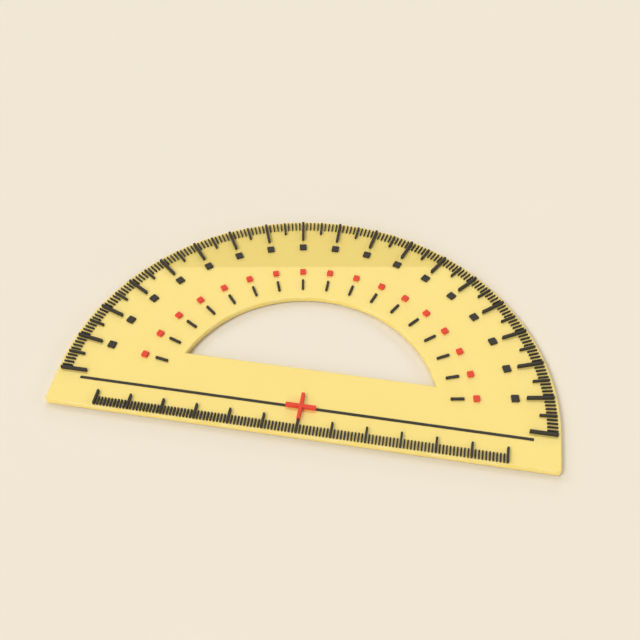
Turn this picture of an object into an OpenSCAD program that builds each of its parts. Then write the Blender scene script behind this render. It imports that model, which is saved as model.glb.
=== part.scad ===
// Semicircular protractor: a clear yellow plate with raised marks keyed into its face.
// The arcs share one centre, which is the origin in plan; z = 0 is the plate's underside.
// +X runs to the right along the ruler edge and +Y to the 90 degree mark.

/* [Plate] */
// Radius of the outer arc, which is half the plate's width
plate_r = 75; // [71:0.5:85]
// Thickness of the plate
plate_t = 2; // [1.5:0.1:3]
// From the arcs' centre down to the ruler edge
ruler_edge = 12; // [11:0.5:18]
// Radius of the window's arc
window_r = 40; // [34:0.5:43]
// From the arcs' centre up to the window's straight edge
window_edge = 11.8; // [8:0.2:18]
// Rounding of the plate's upper edges
edge_round = 0.6; // [0.2:0.05:0.65]
// Rounding of the plate's lower edges
foot_round = 0.6; // [0.2:0.05:0.65]
// Radius of the two lower corners, seen from above
corner_r = 1.2; // [0.8:0.1:4]

/* [Outer degree scale] */
// From the outer arc in to the marks
scale_margin = 1.05; // [0.8:0.05:3]
// Length of a ten-degree mark
ten_len = 8.15; // [6:0.05:10]
// Length of a five-degree mark
five_len = 5.15; // [3.5:0.05:6]
// Length of a one-degree mark
one_len = 3.15; // [2:0.05:4]
// Width of a ten-degree mark
ten_w = 0.77; // [0.5:0.01:1]
// Width of a five-degree mark
five_w = 0.63; // [0.4:0.01:0.9]
// Width of a one-degree mark
one_w = 0.42; // [0.3:0.01:0.6]
// Height of a ten-degree mark above the face
ten_h = 1.12; // [0.2:0.02:1.5]
// Height of a five-degree mark above the face
five_h = 0.82; // [0.2:0.02:1.5]
// Height of a one-degree mark above the face
one_h = 0.6; // [0.2:0.02:1.5]

/* [Outer number blocks] */
// From a ten-degree mark in to its block
outer_block_gap = 2.22; // [1:0.02:4]
// Side of a block
outer_block = 2.27; // [1.5:0.01:3]
// Height of a block above the face
outer_block_h = 0.62; // [0.2:0.02:1.5]

/* [Inner scale] */
// From the window's arc out to the marks
inner_margin = 3.48; // [1.5:0.02:5]
// Length of a mark
inner_len = 4.08; // [3:0.02:6]
// Width of a mark
inner_w = 0.74; // [0.4:0.02:1]
// Height of a mark above the face
inner_h = 0.64; // [0.2:0.02:1.5]
// From a mark out to its block
inner_block_gap = 2.66; // [1:0.02:3.5]
// Side of a block
inner_block = 1.83; // [1.2:0.01:2.4]
// Height of a block above the face
inner_block_h = 0.8; // [0.2:0.02:1.5]

/* [Base line and origin cross] */
// From the arcs' centre down to the base line
base_drop = 2.4; // [1.5:0.1:3]
// From the plate's side in to the line's end
base_margin = 7.9; // [4:0.1:15]
// Width of the line
base_w = 0.85; // [0.3:0.05:0.9]
// Height of the line above the face
base_h = 0.2; // [0.1:0.05:0.8]
// Length of each of the cross's two bars
cross_len = 9; // [6:0.25:10]
// Width of the cross's bars
cross_w = 0.98; // [0.7:0.02:1.5]
// Height of the cross above the face
cross_h = 1.36; // [0.3:0.02:1.6]

/* [Ruler] */
// Length of the ruler in centimetres
ruler_cm = 12; // [8:1:13]
// From the ruler edge up to the marks
ruler_margin = 0.7; // [0.7:0.05:1.2]
// Length of a centimetre mark
cm_len = 4.87; // [4:0.01:5.5]
// Length of a millimetre mark
mm_len = 2.72; // [1.5:0.02:3.2]
// Width of a centimetre mark
cm_w = 0.64; // [0.4:0.02:0.7]
// Width of a millimetre mark
mm_w = 0.48; // [0.3:0.02:0.5]
// Height of a centimetre mark above the face
cm_h = 1.08; // [0.2:0.02:1.5]
// Height of a millimetre mark above the face
mm_h = 0.7; // [0.2:0.02:1.5]

/* [Seats] */
// How deep each mark is let into the face
seat_depth = 0.3; // [0.2:0.05:0.5]
// Clearance between a mark's sides and its seat
seat_gap = 0.02; // [0.01:0.01:0.04]
// Chamfer round the top of each mark
mark_chamfer = 0.06; // [0.02:0.01:0.09]

/* [Hidden] */
$fn = 180;

plate_colour = [0.99, 0.88, 0.52];
ink_colour = [0.22, 0.22, 0.23];
red_colour = [0.92, 0.3, 0.23];

cm = 10;
mm = 1;
half_turn = 180;
ten = 10;
five = 5;
// How far a cutter runs past the face that it cuts
over = 1;

seat_z = plate_t - seat_depth;
scale_r = plate_r - scale_margin;
outer_block_r = scale_r - ten_len - outer_block_gap - outer_block;
inner_mark_r = window_r + inner_margin;
inner_block_r = inner_mark_r + inner_len + inner_block_gap;
base_end = plate_r - base_margin;
cross_end = cross_len / 2;
ruler_foot = ruler_margin - ruler_edge;
ruler_end = ruler_cm * cm / 2;

// Half of the plate's section: its outer side at distance r, rounded at the top and the foot
module rim_section(r) {
    translate([0, foot_round]) square([r, plate_t - edge_round - foot_round]);
    translate([0, foot_round]) square([r - edge_round, plate_t - foot_round]);
    square([r - foot_round, plate_t - edge_round]);
    intersection() {
        translate([r - edge_round, plate_t - edge_round]) circle(edge_round);
        square([r, plate_t]);
    }
    intersection() {
        translate([r - foot_round, foot_round]) circle(foot_round);
        square([r, plate_t]);
    }
}

// The section of what is cut away out to distance r, flared by the rounded lips
module lip_section(r) {
    translate([0, -over]) square([r, plate_t + 2 * over]);
    difference() {
        translate([0, plate_t - edge_round]) square([r + edge_round, edge_round + over]);
        translate([r + edge_round, plate_t - edge_round]) circle(edge_round);
    }
    difference() {
        translate([0, -over]) square([r + foot_round, foot_round + over]);
        translate([r + foot_round, foot_round]) circle(foot_round);
    }
}

module plate_blank() {
    side = plate_r - corner_r;
    // The half disc
    rotate_extrude(angle = half_turn) rim_section(plate_r);
    // The band below it, from side to side and from the corners' centres up
    for (m = [0, 1]) mirror([m, 0, 0])
        rotate([90, 0, 0]) linear_extrude(ruler_edge - corner_r) rim_section(plate_r);
    // The strip along the ruler edge
    translate([-side, 0, 0]) rotate([90, 0, 90]) linear_extrude(2 * side)
        mirror([1, 0, 0]) rim_section(ruler_edge);
    // The two lower corners
    for (m = [0, 1]) mirror([m, 0, 0])
        translate([side, corner_r - ruler_edge, 0]) rotate([0, 0, -90])
            rotate_extrude(angle = 90) rim_section(corner_r);
}

// The D-shaped window, with its rounded lips
module window() {
    reach = window_r + edge_round + foot_round;
    intersection() {
        rotate_extrude() lip_section(window_r);
        translate([-reach, reach, 0]) rotate([90, 0, 90]) linear_extrude(2 * reach)
            mirror([1, 0, 0]) lip_section(reach - window_edge);
    }
}

// A mark along +X with its foot on the seat's floor, chamfered round its top
module mark(len, wide, high) {
    top = plate_t + high;
    intersection() {
        rotate([90, 0, 0]) linear_extrude(wide, center = true) mark_section(0, len, top);
        rotate([90, 0, 90]) linear_extrude(len) mark_section(-wide / 2, wide / 2, top);
    }
}

module mark_section(from, to, top) {
    polygon([
        [from, seat_z],
        [to, seat_z],
        [to, top - mark_chamfer],
        [to - mark_chamfer, top],
        [from + mark_chamfer, top],
        [from, top - mark_chamfer]
    ]);
}

// The seat that holds such a mark
module seat(len, wide) {
    translate([-seat_gap, -wide / 2 - seat_gap, seat_z])
        cube([len + 2 * seat_gap, wide + 2 * seat_gap, seat_depth + over]);
}

// Each of these sets its child at every place where its kind of mark lies
module at_angle(a, r) {
    rotate([0, 0, a]) translate([r, 0, 0]) children();
}

module at_one_degree_marks() {
    for (a = [0 : half_turn])
        if (a % five != 0) at_angle(a, scale_r - one_len) children();
}

module at_five_degree_marks() {
    for (a = [five : ten : half_turn]) at_angle(a, scale_r - five_len) children();
}

module at_ten_degree_marks() {
    for (a = [0 : ten : half_turn]) at_angle(a, scale_r - ten_len) children();
}

module at_numbers(r) {
    for (a = [ten : ten : half_turn - ten]) at_angle(a, r) children();
}

module at_base_line() {
    for (m = [0, 1]) mirror([m, 0, 0]) translate([cross_end, -base_drop, 0]) children();
}

module at_cross_bars() {
    for (a = [0, 90]) translate([0, -base_drop, 0]) rotate([0, 0, a])
        translate([-cross_end, 0, 0]) children();
}

module at_ruler_place(x) {
    translate([x, ruler_foot, 0]) rotate([0, 0, 90]) children();
}

// A centimetre mark that would run under the cross stops at its lower end
function cm_mark_len(x) =
    abs(x) < (cross_w + cm_w) / 2
        ? min(cm_len, -base_drop - cross_end - ruler_foot)
        : cm_len;

module plate() {
    color(plate_colour) difference() {
        plate_blank();
        window();
        at_one_degree_marks() seat(one_len, one_w);
        at_five_degree_marks() seat(five_len, five_w);
        at_ten_degree_marks() seat(ten_len, ten_w);
        at_numbers(outer_block_r) seat(outer_block, outer_block);
        at_numbers(inner_mark_r) seat(inner_len, inner_w);
        at_numbers(inner_block_r) seat(inner_block, inner_block);
        at_base_line() seat(base_end - cross_end, base_w);
        at_cross_bars() seat(cross_len, cross_w);
        for (x = [-ruler_end : cm : ruler_end]) at_ruler_place(x) seat(cm_mark_len(x), cm_w);
        for (x = [-ruler_end : mm : ruler_end])
            if ((x + ruler_end) % cm != 0) at_ruler_place(x) seat(mm_len, mm_w);
    }
}

module outer_one_degree_marks() {
    color(ink_colour) at_one_degree_marks() mark(one_len, one_w, one_h);
}

module outer_five_degree_marks() {
    color(ink_colour) at_five_degree_marks() mark(five_len, five_w, five_h);
}

module outer_ten_degree_marks() {
    color(ink_colour) at_ten_degree_marks() mark(ten_len, ten_w, ten_h);
}

module outer_number_blocks() {
    color(ink_colour) at_numbers(outer_block_r) mark(outer_block, outer_block, outer_block_h);
}

module inner_ten_degree_marks() {
    color(ink_colour) at_numbers(inner_mark_r) mark(inner_len, inner_w, inner_h);
}

module inner_number_blocks() {
    color(red_colour) at_numbers(inner_block_r) mark(inner_block, inner_block, inner_block_h);
}

module base_line() {
    color(ink_colour) at_base_line() mark(base_end - cross_end, base_w, base_h);
}

module origin_cross() {
    color(red_colour) at_cross_bars() mark(cross_len, cross_w, cross_h);
}

module ruler_centimetre_marks() {
    color(ink_colour) for (x = [-ruler_end : cm : ruler_end])
        at_ruler_place(x) mark(cm_mark_len(x), cm_w, cm_h);
}

module ruler_millimetre_marks() {
    color(ink_colour) for (x = [-ruler_end : mm : ruler_end])
        if ((x + ruler_end) % cm != 0) at_ruler_place(x) mark(mm_len, mm_w, mm_h);
}

plate();
outer_one_degree_marks();
outer_five_degree_marks();
outer_ten_degree_marks();
outer_number_blocks();
inner_ten_degree_marks();
inner_number_blocks();
base_line();
origin_cross();
ruler_centimetre_marks();
ruler_millimetre_marks();
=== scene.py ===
# A semicircular protractor: a glossy yellow plate with raised dark and red marks keyed into it.
# Shapes are drawn in millimetres in the CAD model's frame and turned into metres at the end.
import math
import bmesh
import bpy
from mathutils import Matrix, Vector
from mathutils.geometry import delaunay_2d_cdt


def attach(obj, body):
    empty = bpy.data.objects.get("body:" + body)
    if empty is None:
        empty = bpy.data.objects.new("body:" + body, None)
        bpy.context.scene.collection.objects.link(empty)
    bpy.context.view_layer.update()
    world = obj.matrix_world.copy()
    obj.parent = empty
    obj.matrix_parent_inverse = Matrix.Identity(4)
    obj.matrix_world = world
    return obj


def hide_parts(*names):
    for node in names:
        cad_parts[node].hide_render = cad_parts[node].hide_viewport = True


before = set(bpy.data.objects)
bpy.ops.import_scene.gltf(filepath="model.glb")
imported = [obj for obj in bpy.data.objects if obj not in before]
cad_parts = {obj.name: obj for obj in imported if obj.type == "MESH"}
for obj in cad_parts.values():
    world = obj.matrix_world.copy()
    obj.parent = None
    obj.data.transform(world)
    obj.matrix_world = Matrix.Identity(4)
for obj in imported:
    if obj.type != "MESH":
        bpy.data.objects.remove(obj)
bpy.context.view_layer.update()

mm = 0.001
scene = bpy.context.scene


# The plate's outlines in plan; sizes are in millimetres and turns in degrees

plateSize = {
    "radius": 75.0,
    "thickness": 2.0,
    "rulerEdge": 12.0,  # below the arcs' centre
    "cornerRadius": 1.2,
    "edgeRounding": 0.6,  # of the upper edges
    "footRounding": 0.6,  # of the lower edges
    "windowRadius": 40.0,
    "windowEdge": 11.8,  # above the arcs' centre
    "seatDepth": 0.3,
    "seatGap": 0.02,
    "arcStep": 1.0,
    "cornerStep": 7.5,
    "roundingSteps": 8,
    "flatBand": 0.04,  # keeps the face's shading flat right up to the rounding
}

faceHeight = plateSize["thickness"]
seatFloor = faceHeight - plateSize["seatDepth"]


def arc(centre, radius, start, end, step):
    roundingSlack = 1e-9
    count = max(1, math.ceil(abs(end - start) / step - roundingSlack))
    turns = [math.radians(start + (end - start) * k / count) for k in range(count + 1)]
    return [(centre[0] + radius * math.cos(t), centre[1] + radius * math.sin(t)) for t in turns]


def plateOutline(inset):
    p = plateSize
    side = p["radius"] - p["cornerRadius"]
    low = p["cornerRadius"] - p["rulerEdge"]
    corner = p["cornerRadius"] - inset
    points = arc((0, 0), p["radius"] - inset, 0, 180, p["arcStep"])
    points += arc((-side, low), corner, 180, 270, p["cornerStep"])
    points += arc((side, low), corner, 270, 360, p["cornerStep"])
    return points


def windowOutline(outset):
    # the count of points is the same for every outset, so that the outlines can be joined
    p = plateSize
    radius = p["windowRadius"] + outset
    start = math.degrees(math.asin((p["windowEdge"] - outset) / radius))
    drawnStart = math.degrees(math.asin(p["windowEdge"] / p["windowRadius"]))
    steps = math.ceil((180 - 2 * drawnStart) / p["arcStep"])
    return arc((0, 0), radius, start, 180 - start, (180 - 2 * start) / steps)


# The marks' outlines in plan

baseLine = {"drop": 2.4, "reach": 67.1, "width": 0.85, "height": 0.2}

originCross = {"reach": 4.5, "width": 0.98, "height": 1.36}

markEdges = {"cornerRadius": 0.1, "cornerSteps": 3, "rounding": 0.08, "roundingSteps": 3}


def barOutline(bar, grow=0.0):
    # a bar starts at x, y and runs along its turn; grow widens it all round
    x, y, turn, length, width = bar
    along = Vector((math.cos(math.radians(turn)), math.sin(math.radians(turn))))
    across = Vector((-along.y, along.x)) * (width / 2 + grow)
    start = Vector((x, y)) - along * grow
    end = Vector((x, y)) + along * (length + grow)
    return [tuple(p) for p in (start - across, end - across, end + across, start + across)]


def crossOutline(grow=0.0, tails=None):
    # four equal arms; a tail is a narrower strip that goes on from an arm's end
    half = originCross["width"] / 2 + grow
    reach = originCross["reach"] + grow
    points = []
    for turn in (0, 90, 180, 270):
        arm = [(half, -half), (reach, -half)]
        if tails and turn in tails:
            tailReach, tailHalf = tails[turn]
            arm += [(reach, -tailHalf), (tailReach, -tailHalf)]
            arm += [(tailReach, tailHalf), (reach, tailHalf)]
        arm.append((reach, half))
        rotation = Matrix.Rotation(math.radians(turn), 2)
        for point in arm:
            p = rotation @ Vector(point)
            points.append((p.x, p.y - baseLine["drop"]))
    return points


def softenedOutline(corners, inset):
    # the outline moved inwards, with every right-angled corner turned into a small arc
    radius = markEdges["cornerRadius"]
    steps = markEdges["cornerSteps"]
    points = []
    for k, corner in enumerate(corners):
        here = Vector(corner)
        before = (here - Vector(corners[k - 1])).normalized()
        after = (Vector(corners[(k + 1) % len(corners)]) - here).normalized()
        side = 1 if before.x * after.y - before.y * after.x > 0 else -1
        normalBefore = Vector((-before.y, before.x))
        normalAfter = Vector((-after.y, after.x))
        centre = here + side * radius * (normalBefore + normalAfter)
        for i in range(steps + 1):
            t = math.pi / 2 * i / steps
            towards = normalBefore * math.cos(t) + normalAfter * math.sin(t)
            points.append(tuple(centre - side * (radius - side * inset) * towards))
    return points


# Where the marks lie: x, y, turn, length and width of each

outerScale = {
    "end": 73.95,  # all its marks reach out to here
    "ten": {"length": 8.15, "width": 0.77, "height": 1.12},
    "five": {"length": 5.15, "width": 0.63, "height": 0.82},
    "one": {"length": 3.15, "width": 0.42, "height": 0.6},
    "blockGap": 2.22,
    "block": {"length": 2.27, "width": 2.27, "height": 0.62},
}

innerScale = {
    "start": 43.48,
    "ten": {"length": 4.08, "width": 0.74, "height": 0.64},
    "blockGap": 2.66,
    "block": {"length": 1.83, "width": 1.83, "height": 0.8},
}

ruler = {
    "reach": 60,
    "foot": -11.3,
    "centimetre": {"length": 4.87, "width": 0.64, "height": 1.08},
    "millimetre": {"length": 2.72, "width": 0.48, "height": 0.7},
}

tenTurns = range(0, 181, 10)
fiveTurns = range(5, 180, 10)
oneTurns = [t for t in range(181) if t % 5]
numberTurns = range(10, 180, 10)
rulerPlaces = range(-ruler["reach"], ruler["reach"] + 1)

outerBlockStart = (outerScale["end"] - outerScale["ten"]["length"] - outerScale["blockGap"]
                   - outerScale["block"]["length"])
innerBlockStart = innerScale["start"] + innerScale["ten"]["length"] + innerScale["blockGap"]
crossFoot = -baseLine["drop"] - originCross["reach"]


def radialBar(turn, start, mark):
    t = math.radians(turn)
    return (start * math.cos(t), start * math.sin(t), turn, mark["length"], mark["width"])


def radialBars(turns, start, mark):
    return [radialBar(t, start, mark) for t in turns]


def outerBars(turns, mark):
    return radialBars(turns, outerScale["end"] - mark["length"], mark)


def uprightBar(x, mark, length=None):
    return (x, ruler["foot"], 90, length or mark["length"], mark["width"])


bars = {
    "outer_one_degree_marks": outerBars(oneTurns, outerScale["one"]),
    "outer_five_degree_marks": outerBars(fiveTurns, outerScale["five"]),
    "outer_ten_degree_marks": outerBars(tenTurns, outerScale["ten"]),
    "outer_number_blocks": radialBars(numberTurns, outerBlockStart, outerScale["block"]),
    "inner_ten_degree_marks": radialBars(numberTurns, innerScale["start"], innerScale["ten"]),
    "inner_number_blocks": radialBars(numberTurns, innerBlockStart, innerScale["block"]),
    "base_line": [
        (side * originCross["reach"], -baseLine["drop"], 90 - 90 * side,
         baseLine["reach"] - originCross["reach"], baseLine["width"]) for side in (1, -1)],
    # the middle centimetre mark stops where the cross begins
    "ruler_centimetre_marks": [
        uprightBar(x, ruler["centimetre"], crossFoot - ruler["foot"] if x == 0 else None)
        for x in rulerPlaces if x % 10 == 0],
    "ruler_millimetre_marks": [
        uprightBar(x, ruler["millimetre"]) for x in rulerPlaces if x % 10],
}

markHeights = {
    "outer_one_degree_marks": outerScale["one"]["height"],
    "outer_five_degree_marks": outerScale["five"]["height"],
    "outer_ten_degree_marks": outerScale["ten"]["height"],
    "outer_number_blocks": outerScale["block"]["height"],
    "inner_ten_degree_marks": innerScale["ten"]["height"],
    "inner_number_blocks": innerScale["block"]["height"],
    "base_line": baseLine["height"],
    "origin_cross": originCross["height"],
    "ruler_centimetre_marks": ruler["centimetre"]["height"],
    "ruler_millimetre_marks": ruler["millimetre"]["height"],
}


def seatOutlines():
    # the cross, the base line and the middle centimetre mark share one seat
    gap = plateSize["seatGap"]
    line = (baseLine["reach"] + gap, baseLine["width"] / 2 + gap)
    stem = (-baseLine["drop"] - ruler["foot"] + gap, ruler["centimetre"]["width"] / 2 + gap)
    outlines = [crossOutline(gap, {0: line, 180: line, 270: stem})]
    for name, places in bars.items():
        if name == "base_line":
            continue
        for bar in places:
            if name == "ruler_centimetre_marks" and bar[0] == 0:
                continue
            outlines.append(barOutline(bar, gap))
    return outlines


# Mesh building

sharpAngle = 35  # an edge that turns by more is kept crisp


def ring(bm, outline, z, wear=None, value=0.0):
    verts = [bm.verts.new((x, y, z)) for x, y in outline]
    if wear is not None:
        for v in verts:
            v[wear] = value
    return verts


def loft(bm, lower, upper):
    for k in range(len(lower)):
        n = (k + 1) % len(lower)
        bm.faces.new((lower[k], lower[n], upper[n], upper[k]))


def footProfile(radius, steps):
    # inset and height, from the underside out and up to the wall
    for k in range(steps + 1):
        t = math.pi / 2 * k / steps
        yield radius * (1 - math.sin(t)), radius * (1 - math.cos(t))


def roundingProfile(radius, steps, top):
    # inset, height and how exposed to wear, from the wall's top up to the face
    for k in range(steps + 1):
        t = math.pi / 2 * k / steps
        yield radius * (1 - math.cos(t)), top - radius * (1 - math.sin(t)), math.sin(2 * t)


def insideOutline(point, outline):
    inside = False
    for (ax, ay), (bx, by) in zip(outline, outline[1:] + outline[:1]):
        if (ay > point[1]) != (by > point[1]):
            if point[0] < ax + (bx - ax) * (point[1] - ay) / (by - ay):
                inside = not inside
    return inside


def fillFace(bm, outer, holes, facingUp):
    # a flat face between an outline and the holes in it
    loops = [outer] + holes
    verts = [v for loop in loops for v in loop]
    owner = [k for k, loop in enumerate(loops) for v in loop]
    edges = []
    start = 0
    for loop in loops:
        count = len(loop)
        edges += [(start + k, start + (k + 1) % count) for k in range(count)]
        start += count
    flat = [Vector((v.co.x, v.co.y)) for v in verts]
    withinOutlines, tolerance = 1, 1e-6
    filling = delaunay_2d_cdt(flat, edges, [], withinOutlines, tolerance)
    points, _, triangles, origins, _, _ = filling
    outlines = [[(v.co.x, v.co.y) for v in loop] for loop in loops]
    for triangle in triangles:
        corners = [origins[k][0] for k in triangle]
        owners = {owner[k] for k in corners}
        # a triangle between points of one hole may lie in the hole itself
        if len(owners) == 1 and 0 not in owners:
            middle = sum((points[k] for k in triangle), Vector((0, 0))) / 3
            if insideOutline(middle, outlines[owners.pop()]):
                continue
        face = bm.faces.new([verts[k] for k in corners])
        face.normal_update()
        if (face.normal.z > 0) != facingUp:
            face.normal_flip()


def finishMesh(bm, name):
    bm.normal_update()
    for edge in bm.edges:
        if len(edge.link_faces) == 2:
            edge.smooth = edge.calc_face_angle(0) < math.radians(sharpAngle)
    for face in bm.faces:
        face.smooth = True
    bmesh.ops.scale(bm, vec=(mm, mm, mm), verts=bm.verts)
    mesh = bpy.data.meshes.new(name)
    bm.to_mesh(mesh)
    bm.free()
    piece = bpy.data.objects.new(name, mesh)
    scene.collection.objects.link(piece)
    return piece


def buildPlate():
    p = plateSize
    bm = bmesh.new()
    wear = bm.verts.layers.float.new("edgeWear")
    rims = []
    for outline in (plateOutline, windowOutline):
        rings = []
        for inset, z in footProfile(p["footRounding"], p["roundingSteps"]):
            rings.append(ring(bm, outline(inset), z, wear))
        for inset, z, value in roundingProfile(p["edgeRounding"], p["roundingSteps"], faceHeight):
            rings.append(ring(bm, outline(inset), z, wear, value))
        rings.append(ring(bm, outline(p["edgeRounding"] + p["flatBand"]), faceHeight, wear))
        for lower, upper in zip(rings, rings[1:]):
            if outline is plateOutline:
                loft(bm, lower, upper)
            else:
                loft(bm, upper, lower)
        rims.append((rings[0], rings[-1]))
    seats = []
    for outline in seatOutlines():
        mouth = ring(bm, outline, faceHeight, wear)
        floor = ring(bm, outline, seatFloor, wear)
        loft(bm, mouth, floor)
        bm.faces.new(floor)
        seats.append(mouth)
    fillFace(bm, rims[0][1], [rims[1][1]] + seats, True)
    fillFace(bm, rims[0][0], [rims[1][0]], False)
    return finishMesh(bm, "yellowPlate")


def buildMarks(name, outlines, height):
    # each mark stands on its seat's floor and has softened upper edges
    top = faceHeight + height
    bm = bmesh.new()
    wear = bm.verts.layers.float.new("edgeWear")
    rounding = list(roundingProfile(markEdges["rounding"], markEdges["roundingSteps"], top))
    for outline in outlines:
        rings = [ring(bm, softenedOutline(outline, 0), seatFloor, wear)]
        for inset, z, value in rounding:
            rings.append(ring(bm, softenedOutline(outline, inset), z, wear, value))
        for lower, upper in zip(rings, rings[1:]):
            loft(bm, lower, upper)
        bm.faces.new(rings[-1])
        bm.faces.new(list(reversed(rings[0])))
    piece = finishMesh(bm, name)
    modifier = piece.modifiers.new("flat faces", "WEIGHTED_NORMAL")
    modifier.keep_sharp = True
    return piece


# Materials; a span is the part of a noise's range that is stretched to a full change

middleSpan = (0.3, 0.7)  # what most of a noise lies in

plateFinish = {
    "colour": (0.868, 0.683, 0.200),
    "deepColour": (0.850, 0.652, 0.177),
    "cloudSize": 14.0,
    "cloudShare": 0.5,
    "grainSize": 0.7,
    "grainSpan": (0.25, 0.75),
    "grainShare": 0.3,
    "speckColour": (0.72, 0.51, 0.14),
    "speckSize": 0.35,
    "speckSpan": (0.74, 0.80),
    "speckShare": 0.5,
    "wornColour": (0.875, 0.725, 0.316),
    "wornSize": 5.0,
    "wornSpan": (0.42, 0.62),
    "wornRoughness": 0.30,
    # painted shade: a dark colour on the foot rounding, standing in for the contact shadow at the
    # plate's base
    "paintedFootShadeColour": (0.20, 0.17, 0.12),
    "paintedFootShadeShare": 0.5,
    "paintedFootShadeHeights": (0.15, 0.6),  # full below the first, gone above the second
    "reflection": (1.0, 0.83, 0.42),
    "specular": 1.0,
    "roughness": 0.018,
    "dullSize": 7.0,
    "dullSpan": (0.35, 0.8),
    "dullRoughness": 0.008,
    "rippleSize": 9.0,
    "rippleHeight": 0.0008,
    "hairlineTurns": (17, 64, -38),
    "hairlineWidth": 0.5,
    "hairlineStretch": (1, 0.012, 1),
    "hairlineSpan": (0.80, 0.86),
    "hairlineRoughness": 0.12,
    "hairlineDepth": 0.0006,
}

markFinish = {
    "dark": {
        "colour": (0.042, 0.037, 0.031),
        "secondColour": (0.054, 0.048, 0.040),
        "wornColour": (0.085, 0.076, 0.060),
    },
    "red": {
        "colour": (0.77, 0.072, 0.043),
        "secondColour": (0.82, 0.088, 0.053),
        "wornColour": (0.84, 0.150, 0.095),
    },
    "cloudSize": 3.0,
    "cloudShare": 0.6,
    "grainSize": 0.16,
    "grainShare": 0.4,
    "grainHeight": 0.004,
    "wornSize": 1.2,
    "wornSpan": (0.38, 0.66),
    "specular": 0.08,
    "roughnesses": (0.43, 0.57),
}

floorFinish = {
    "colour": (0.888, 0.807, 0.665),
    "cloudColour": (0.880, 0.799, 0.656),
    "cloudSize": 60.0,
    "fibreSize": 0.8,
    "fibreHeight": 0.006,
}


class Finish:
    # one material's nodes; lengths are in millimetres, and the coordinates are the object's own

    def __init__(self, name):
        self.material = bpy.data.materials.new(name)
        self.material.use_nodes = True
        self.nodes = self.material.node_tree.nodes
        self.links = self.material.node_tree.links
        self.shader = self.nodes["Principled BSDF"]
        self.place = self.nodes.new("ShaderNodeTexCoord").outputs["Object"]

    def feed(self, socket, value):
        if isinstance(value, bpy.types.NodeSocket):
            self.links.new(value, socket)
        elif isinstance(value, tuple) and len(value) == 3 and socket.type == "RGBA":
            socket.default_value = (*value, 1)
        else:
            socket.default_value = value

    def set(self, inputs):
        for name, value in inputs.items():
            self.feed(self.shader.inputs[name], value)

    def noise(self, size, detail, stretch=(1, 1, 1), turn=0.0):
        mapping = self.nodes.new("ShaderNodeMapping")
        mapping.inputs["Scale"].default_value = stretch
        mapping.inputs["Rotation"].default_value = (0, 0, math.radians(turn))
        self.links.new(self.place, mapping.inputs["Vector"])
        texture = self.nodes.new("ShaderNodeTexNoise")
        texture.inputs["Scale"].default_value = 1 / (size * mm)
        texture.inputs["Detail"].default_value = detail
        self.links.new(mapping.outputs["Vector"], texture.inputs["Vector"])
        return texture.outputs["Fac"]

    def spread(self, value, span, onto=(0.0, 1.0)):
        node = self.nodes.new("ShaderNodeMapRange")
        names = ("From Min", "From Max", "To Min", "To Max")
        for name, number in zip(names, (*span, *onto)):
            node.inputs[name].default_value = number
        self.links.new(value, node.inputs["Value"])
        return node.outputs["Result"]

    def add(self, first, second, operation="ADD"):
        node = self.nodes.new("ShaderNodeMath")
        node.operation = operation
        node.use_clamp = True
        self.feed(node.inputs[0], first)
        self.feed(node.inputs[1], second)
        return node.outputs[0]

    def times(self, first, second):
        return self.add(first, second, "MULTIPLY")

    def blend(self, share, first, second):
        node = self.nodes.new("ShaderNodeMix")
        node.data_type = "RGBA"
        sockets = [s for s in node.inputs if s.type == "RGBA"]
        self.feed(node.inputs["Factor"], share)
        self.feed(sockets[0], first)
        self.feed(sockets[1], second)
        return [s for s in node.outputs if s.type == "RGBA"][0]

    def lowDown(self, full, none):
        # 1 up to the first height in the object, 0 from the second one up
        split = self.nodes.new("ShaderNodeSeparateXYZ")
        self.links.new(self.place, split.inputs["Vector"])
        return self.spread(split.outputs["Z"], (full * mm, none * mm), (1.0, 0.0))

    def edgeWear(self, size, span):
        # rubbed patches along the upper edges
        attribute = self.nodes.new("ShaderNodeAttribute")
        attribute.attribute_name = "edgeWear"
        return self.times(attribute.outputs["Fac"], self.spread(self.noise(size, 4.0), span))

    def bump(self, height, depth, onto=None, pressedIn=False):
        node = self.nodes.new("ShaderNodeBump")
        node.invert = pressedIn
        node.inputs["Strength"].default_value = 1.0
        node.inputs["Distance"].default_value = depth * mm
        self.links.new(height, node.inputs["Height"])
        if onto is not None:
            self.links.new(onto, node.inputs["Normal"])
        return node.outputs["Normal"]


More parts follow.
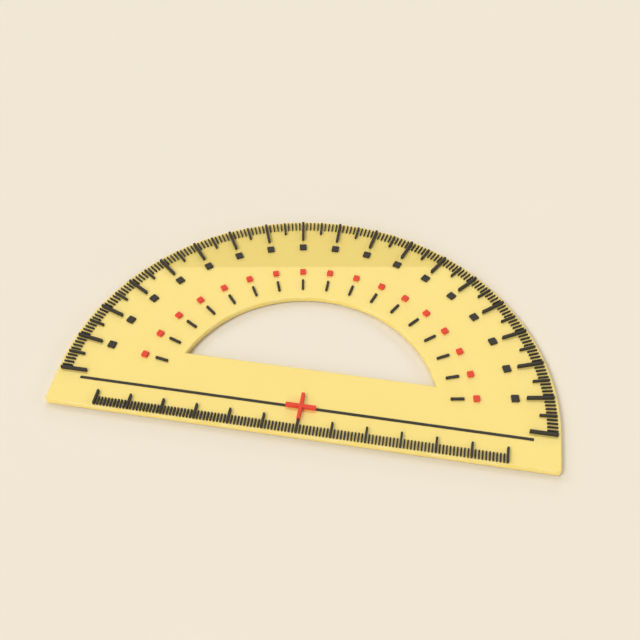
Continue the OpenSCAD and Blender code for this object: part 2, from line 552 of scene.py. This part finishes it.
def yellowPlastic():
    # smooth moulded plastic: faint clouds and pigment specks, hairlines, upper edges rubbed paler,
    # and painted shade that darkens the lower rounding where it meets the paper
    p = plateFinish
    finish = Finish("yellowPlastic")
    clouds = finish.spread(finish.noise(p["cloudSize"], 3.0), middleSpan)
    grain = finish.spread(finish.noise(p["grainSize"], 2.0), p["grainSpan"], (0, p["grainShare"]))
    specks = finish.spread(finish.noise(p["speckSize"], 1.0), p["speckSpan"], (0, p["speckShare"]))
    worn = finish.edgeWear(p["wornSize"], p["wornSpan"])
    # painted shade: the plate's colour darkened towards the paper by height in the object
    paintedFootShade = finish.times(finish.lowDown(*p["paintedFootShadeHeights"]), p["paintedFootShadeShare"])
    depth = finish.add(finish.times(clouds, p["cloudShare"]), grain)
    colour = finish.blend(depth, p["colour"], p["deepColour"])
    colour = finish.blend(specks, colour, p["speckColour"])
    colour = finish.blend(worn, colour, p["wornColour"])
    colour = finish.blend(paintedFootShade, colour, p["paintedFootShadeColour"])

    hairlines = None
    for turn in p["hairlineTurns"]:
        strand = finish.noise(p["hairlineWidth"], 0.0, p["hairlineStretch"], turn)
        strand = finish.spread(strand, p["hairlineSpan"])
        hairlines = strand if hairlines is None else finish.add(hairlines, strand)
    dull = finish.spread(finish.noise(p["dullSize"], 4.0), p["dullSpan"], (0, p["dullRoughness"]))
    roughness = finish.add(finish.add(dull, p["roughness"]),
                           finish.times(hairlines, p["hairlineRoughness"]))
    roughness = finish.add(roughness, finish.times(worn, p["wornRoughness"] - p["roughness"]))
    ripple = finish.bump(finish.noise(p["rippleSize"], 1.0), p["rippleHeight"])
    scratched = finish.bump(hairlines, p["hairlineDepth"], ripple, True)

    finish.set({"Base Color": colour, "Roughness": roughness, "Normal": scratched,
                "Specular IOR Level": p["specular"], "Specular Tint": p["reflection"]})
    return finish.material


def raisedPlastic(name, colours):
    # matt plastic with a fine grain, its upper edges rubbed paler
    p = markFinish
    finish = Finish(name)
    clouds = finish.spread(finish.noise(p["cloudSize"], 3.0), middleSpan)
    grain = finish.noise(p["grainSize"], 3.0)
    shades = finish.add(finish.times(clouds, p["cloudShare"]),
                        finish.spread(grain, middleSpan, (0, p["grainShare"])))
    worn = finish.edgeWear(p["wornSize"], p["wornSpan"])
    colour = finish.blend(shades, colours["colour"], colours["secondColour"])
    colour = finish.blend(worn, colour, colours["wornColour"])
    roughness = finish.spread(clouds, (0, 1), p["roughnesses"])
    grained = finish.bump(grain, p["grainHeight"])
    finish.set({"Base Color": colour, "Roughness": roughness, "Normal": grained,
                "Specular IOR Level": p["specular"]})
    return finish.material


def palePaper():
    # quite matt, with faint clouds and fibres
    p = floorFinish
    finish = Finish("palePaper")
    clouds = finish.spread(finish.noise(p["cloudSize"], 2.0), middleSpan)
    colour = finish.blend(clouds, p["colour"], p["cloudColour"])
    fibres = finish.bump(finish.noise(p["fibreSize"], 3.0), p["fibreHeight"])
    finish.set({"Base Color": colour, "Roughness": 1.0, "Normal": fibres,
                "Specular IOR Level": 0.0})
    return finish.material


# Camera and floor

cameraView = {
    "place": (29.887, -143.321, 215.477),
    "aim": (0.028, 31.159, 2.0),
    "roll": -0.222,
    "fieldOfView": 40.0,
    "nearest": 10.0,
}

# the floor lies a little below the plate, which draws a thin dark line under its wall
floorSize = {"half": 3000.0, "drop": 0.2}


def buildCamera():
    camera = bpy.data.objects.new("camera", bpy.data.cameras.new("camera"))
    scene.collection.objects.link(camera)
    place = Vector(cameraView["place"]) * mm
    towards = Vector(cameraView["aim"]) * mm - place
    roll = Matrix.Rotation(math.radians(cameraView["roll"]), 3, "Z")
    turn = towards.to_track_quat("-Z", "Y").to_matrix() @ roll
    camera.matrix_world = Matrix.Translation(place) @ turn.to_4x4()
    camera.data.angle = math.radians(cameraView["fieldOfView"])
    camera.data.clip_start = cameraView["nearest"] * mm
    scene.camera = camera


def buildFloor():
    half = floorSize["half"]
    corners = [(-half, -half), (half, -half), (half, half), (-half, half)]
    bm = bmesh.new()
    bm.faces.new(ring(bm, corners, -floorSize["drop"]))
    floor = finishMesh(bm, "paleFloor")
    floor.data.materials.append(palePaper())


# Light

# soft lamps round the plate, by azimuth (from +X towards +Y) and elevation; width is the lamp's
# angular width, and share is its part of the light that falls on the floor. They aren't mirrored,
# so that no glare hides the marks from any side
lamps = {
    "key": {"azimuth": 215, "elevation": 51, "width": 20, "share": 0.285},
    "frontLeft": {"azimuth": 240, "elevation": 36, "width": 24, "share": 0.084},
    "front": {"azimuth": 274, "elevation": 22, "width": 18, "share": 0.052},
    "frontLow": {"azimuth": 290, "elevation": 4, "width": 8, "share": 0.012},
    "leftBack": {"azimuth": 153, "elevation": 31, "width": 22, "share": 0.095},
    "back": {"azimuth": 92, "elevation": 21, "width": 16, "share": 0.060},
    "right": {"azimuth": 22, "elevation": 22, "width": 16, "share": 0.048},
    "highBack": {"azimuth": 100, "elevation": 49, "width": 24, "share": 0.072},
}

# the panel that the glossy face mirrors; its lower edge shows as a line across the plate
mirroredPanel = {
    "heading": 99.6,
    "distance": 950,
    "lift": 957.3,  # of its lower edge, above the plate's face
    "width": 3200,
    "height": 3200,
    "radiance": 1.44,
}

# the pale backdrop is for the camera, mirrors and glass; strength is the light on the object
surroundings = {"backdrop": (0.87, 0.79, 0.65), "strength": 0.29}


def addLamp(name, kind, matrix, hiddenFrom, **settings):
    lamp = bpy.data.objects.new(name, bpy.data.lights.new(name, kind))
    for key, value in settings.items():
        setattr(lamp.data, key, value)
    lamp.matrix_world = matrix
    lamp.visible_camera = False
    setattr(lamp, hiddenFrom, False)
    scene.collection.objects.link(lamp)


def buildLamps():
    for name, lamp in lamps.items():
        azimuth = math.radians(lamp["azimuth"])
        elevation = math.radians(lamp["elevation"])
        away = Vector((math.cos(azimuth) * math.cos(elevation),
                       math.sin(azimuth) * math.cos(elevation), math.sin(elevation)))
        addLamp(name, "SUN", away.to_track_quat("Z", "Y").to_matrix().to_4x4(), "visible_glossy",
                energy=lamp["share"] * math.pi / math.sin(elevation),
                angle=math.radians(lamp["width"]))


def buildPanel():
    # its lower edge is set by distance and lift, and it faces the arcs' centre from there
    p = mirroredPanel
    heading = math.radians(p["heading"])
    up = Vector((0, 0, 1))
    ahead = Vector((math.cos(heading), math.sin(heading), 0))
    foot = ahead * p["distance"] + up * (faceHeight + p["lift"])
    lean = foot.normalized()
    right = up.cross(ahead).normalized()
    rise = lean.cross(right)
    place = (foot + rise * p["height"] / 2) * mm
    turn = Matrix((right, rise, lean)).transposed().to_4x4()
    width, height = p["width"] * mm, p["height"] * mm
    addLamp("mirroredPanel", "AREA", Matrix.Translation(place) @ turn, "visible_diffuse",
            shape="RECTANGLE", size=width, size_y=height,
            energy=p["radiance"] * math.pi * width * height)


def buildWorld():
    world = bpy.data.worlds.new("studio")
    world.use_nodes = True
    nodes = world.node_tree.nodes
    links = world.node_tree.links
    light = nodes["Background"]
    light.inputs["Color"].default_value = (1, 1, 1, 1)
    light.inputs["Strength"].default_value = surroundings["strength"]
    backdrop = nodes.new("ShaderNodeBackground")
    backdrop.inputs["Color"].default_value = (*surroundings["backdrop"], 1)
    rays = nodes.new("ShaderNodeLightPath")
    seen = rays.outputs["Is Camera Ray"]
    for kind in ("Is Glossy Ray", "Is Transmission Ray"):
        either = nodes.new("ShaderNodeMath")
        either.operation = "MAXIMUM"
        links.new(seen, either.inputs[0])
        links.new(rays.outputs[kind], either.inputs[1])
        seen = either.outputs["Value"]
    chooser = nodes.new("ShaderNodeMixShader")
    links.new(seen, chooser.inputs["Fac"])
    links.new(light.outputs["Background"], chooser.inputs[1])
    links.new(backdrop.outputs["Background"], chooser.inputs[2])
    links.new(chooser.outputs["Shader"], nodes["World Output"].inputs["Surface"])
    scene.world = world


buildCamera()
print("camera set")

yellow = yellowPlastic()
dark = raisedPlastic("darkPlastic", markFinish["dark"])
red = raisedPlastic("redPlastic", markFinish["red"])
print("plastics mixed")

plate = buildPlate()
plate.data.materials.append(yellow)
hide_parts("plate")
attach(plate, "root")
print("plate built:", len(plate.data.polygons), "faces")

redMarks = ("inner_number_blocks", "origin_cross")
for node, height in markHeights.items():
    outlines = [crossOutline()] if node == "origin_cross" else map(barOutline, bars[node])
    words = node.split("_")
    marks = buildMarks(words[0] + "".join(w.capitalize() for w in words[1:]), outlines, height)
    isRed = node in redMarks
    marks.data.materials.append(red if isRed else dark)
    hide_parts(node)
    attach(marks, "root")
print("marks built")

buildFloor()
buildLamps()
buildPanel()
buildWorld()
scene.view_settings.view_transform = "Standard"
print("floor and light set")

bpy.context.view_layer.update()
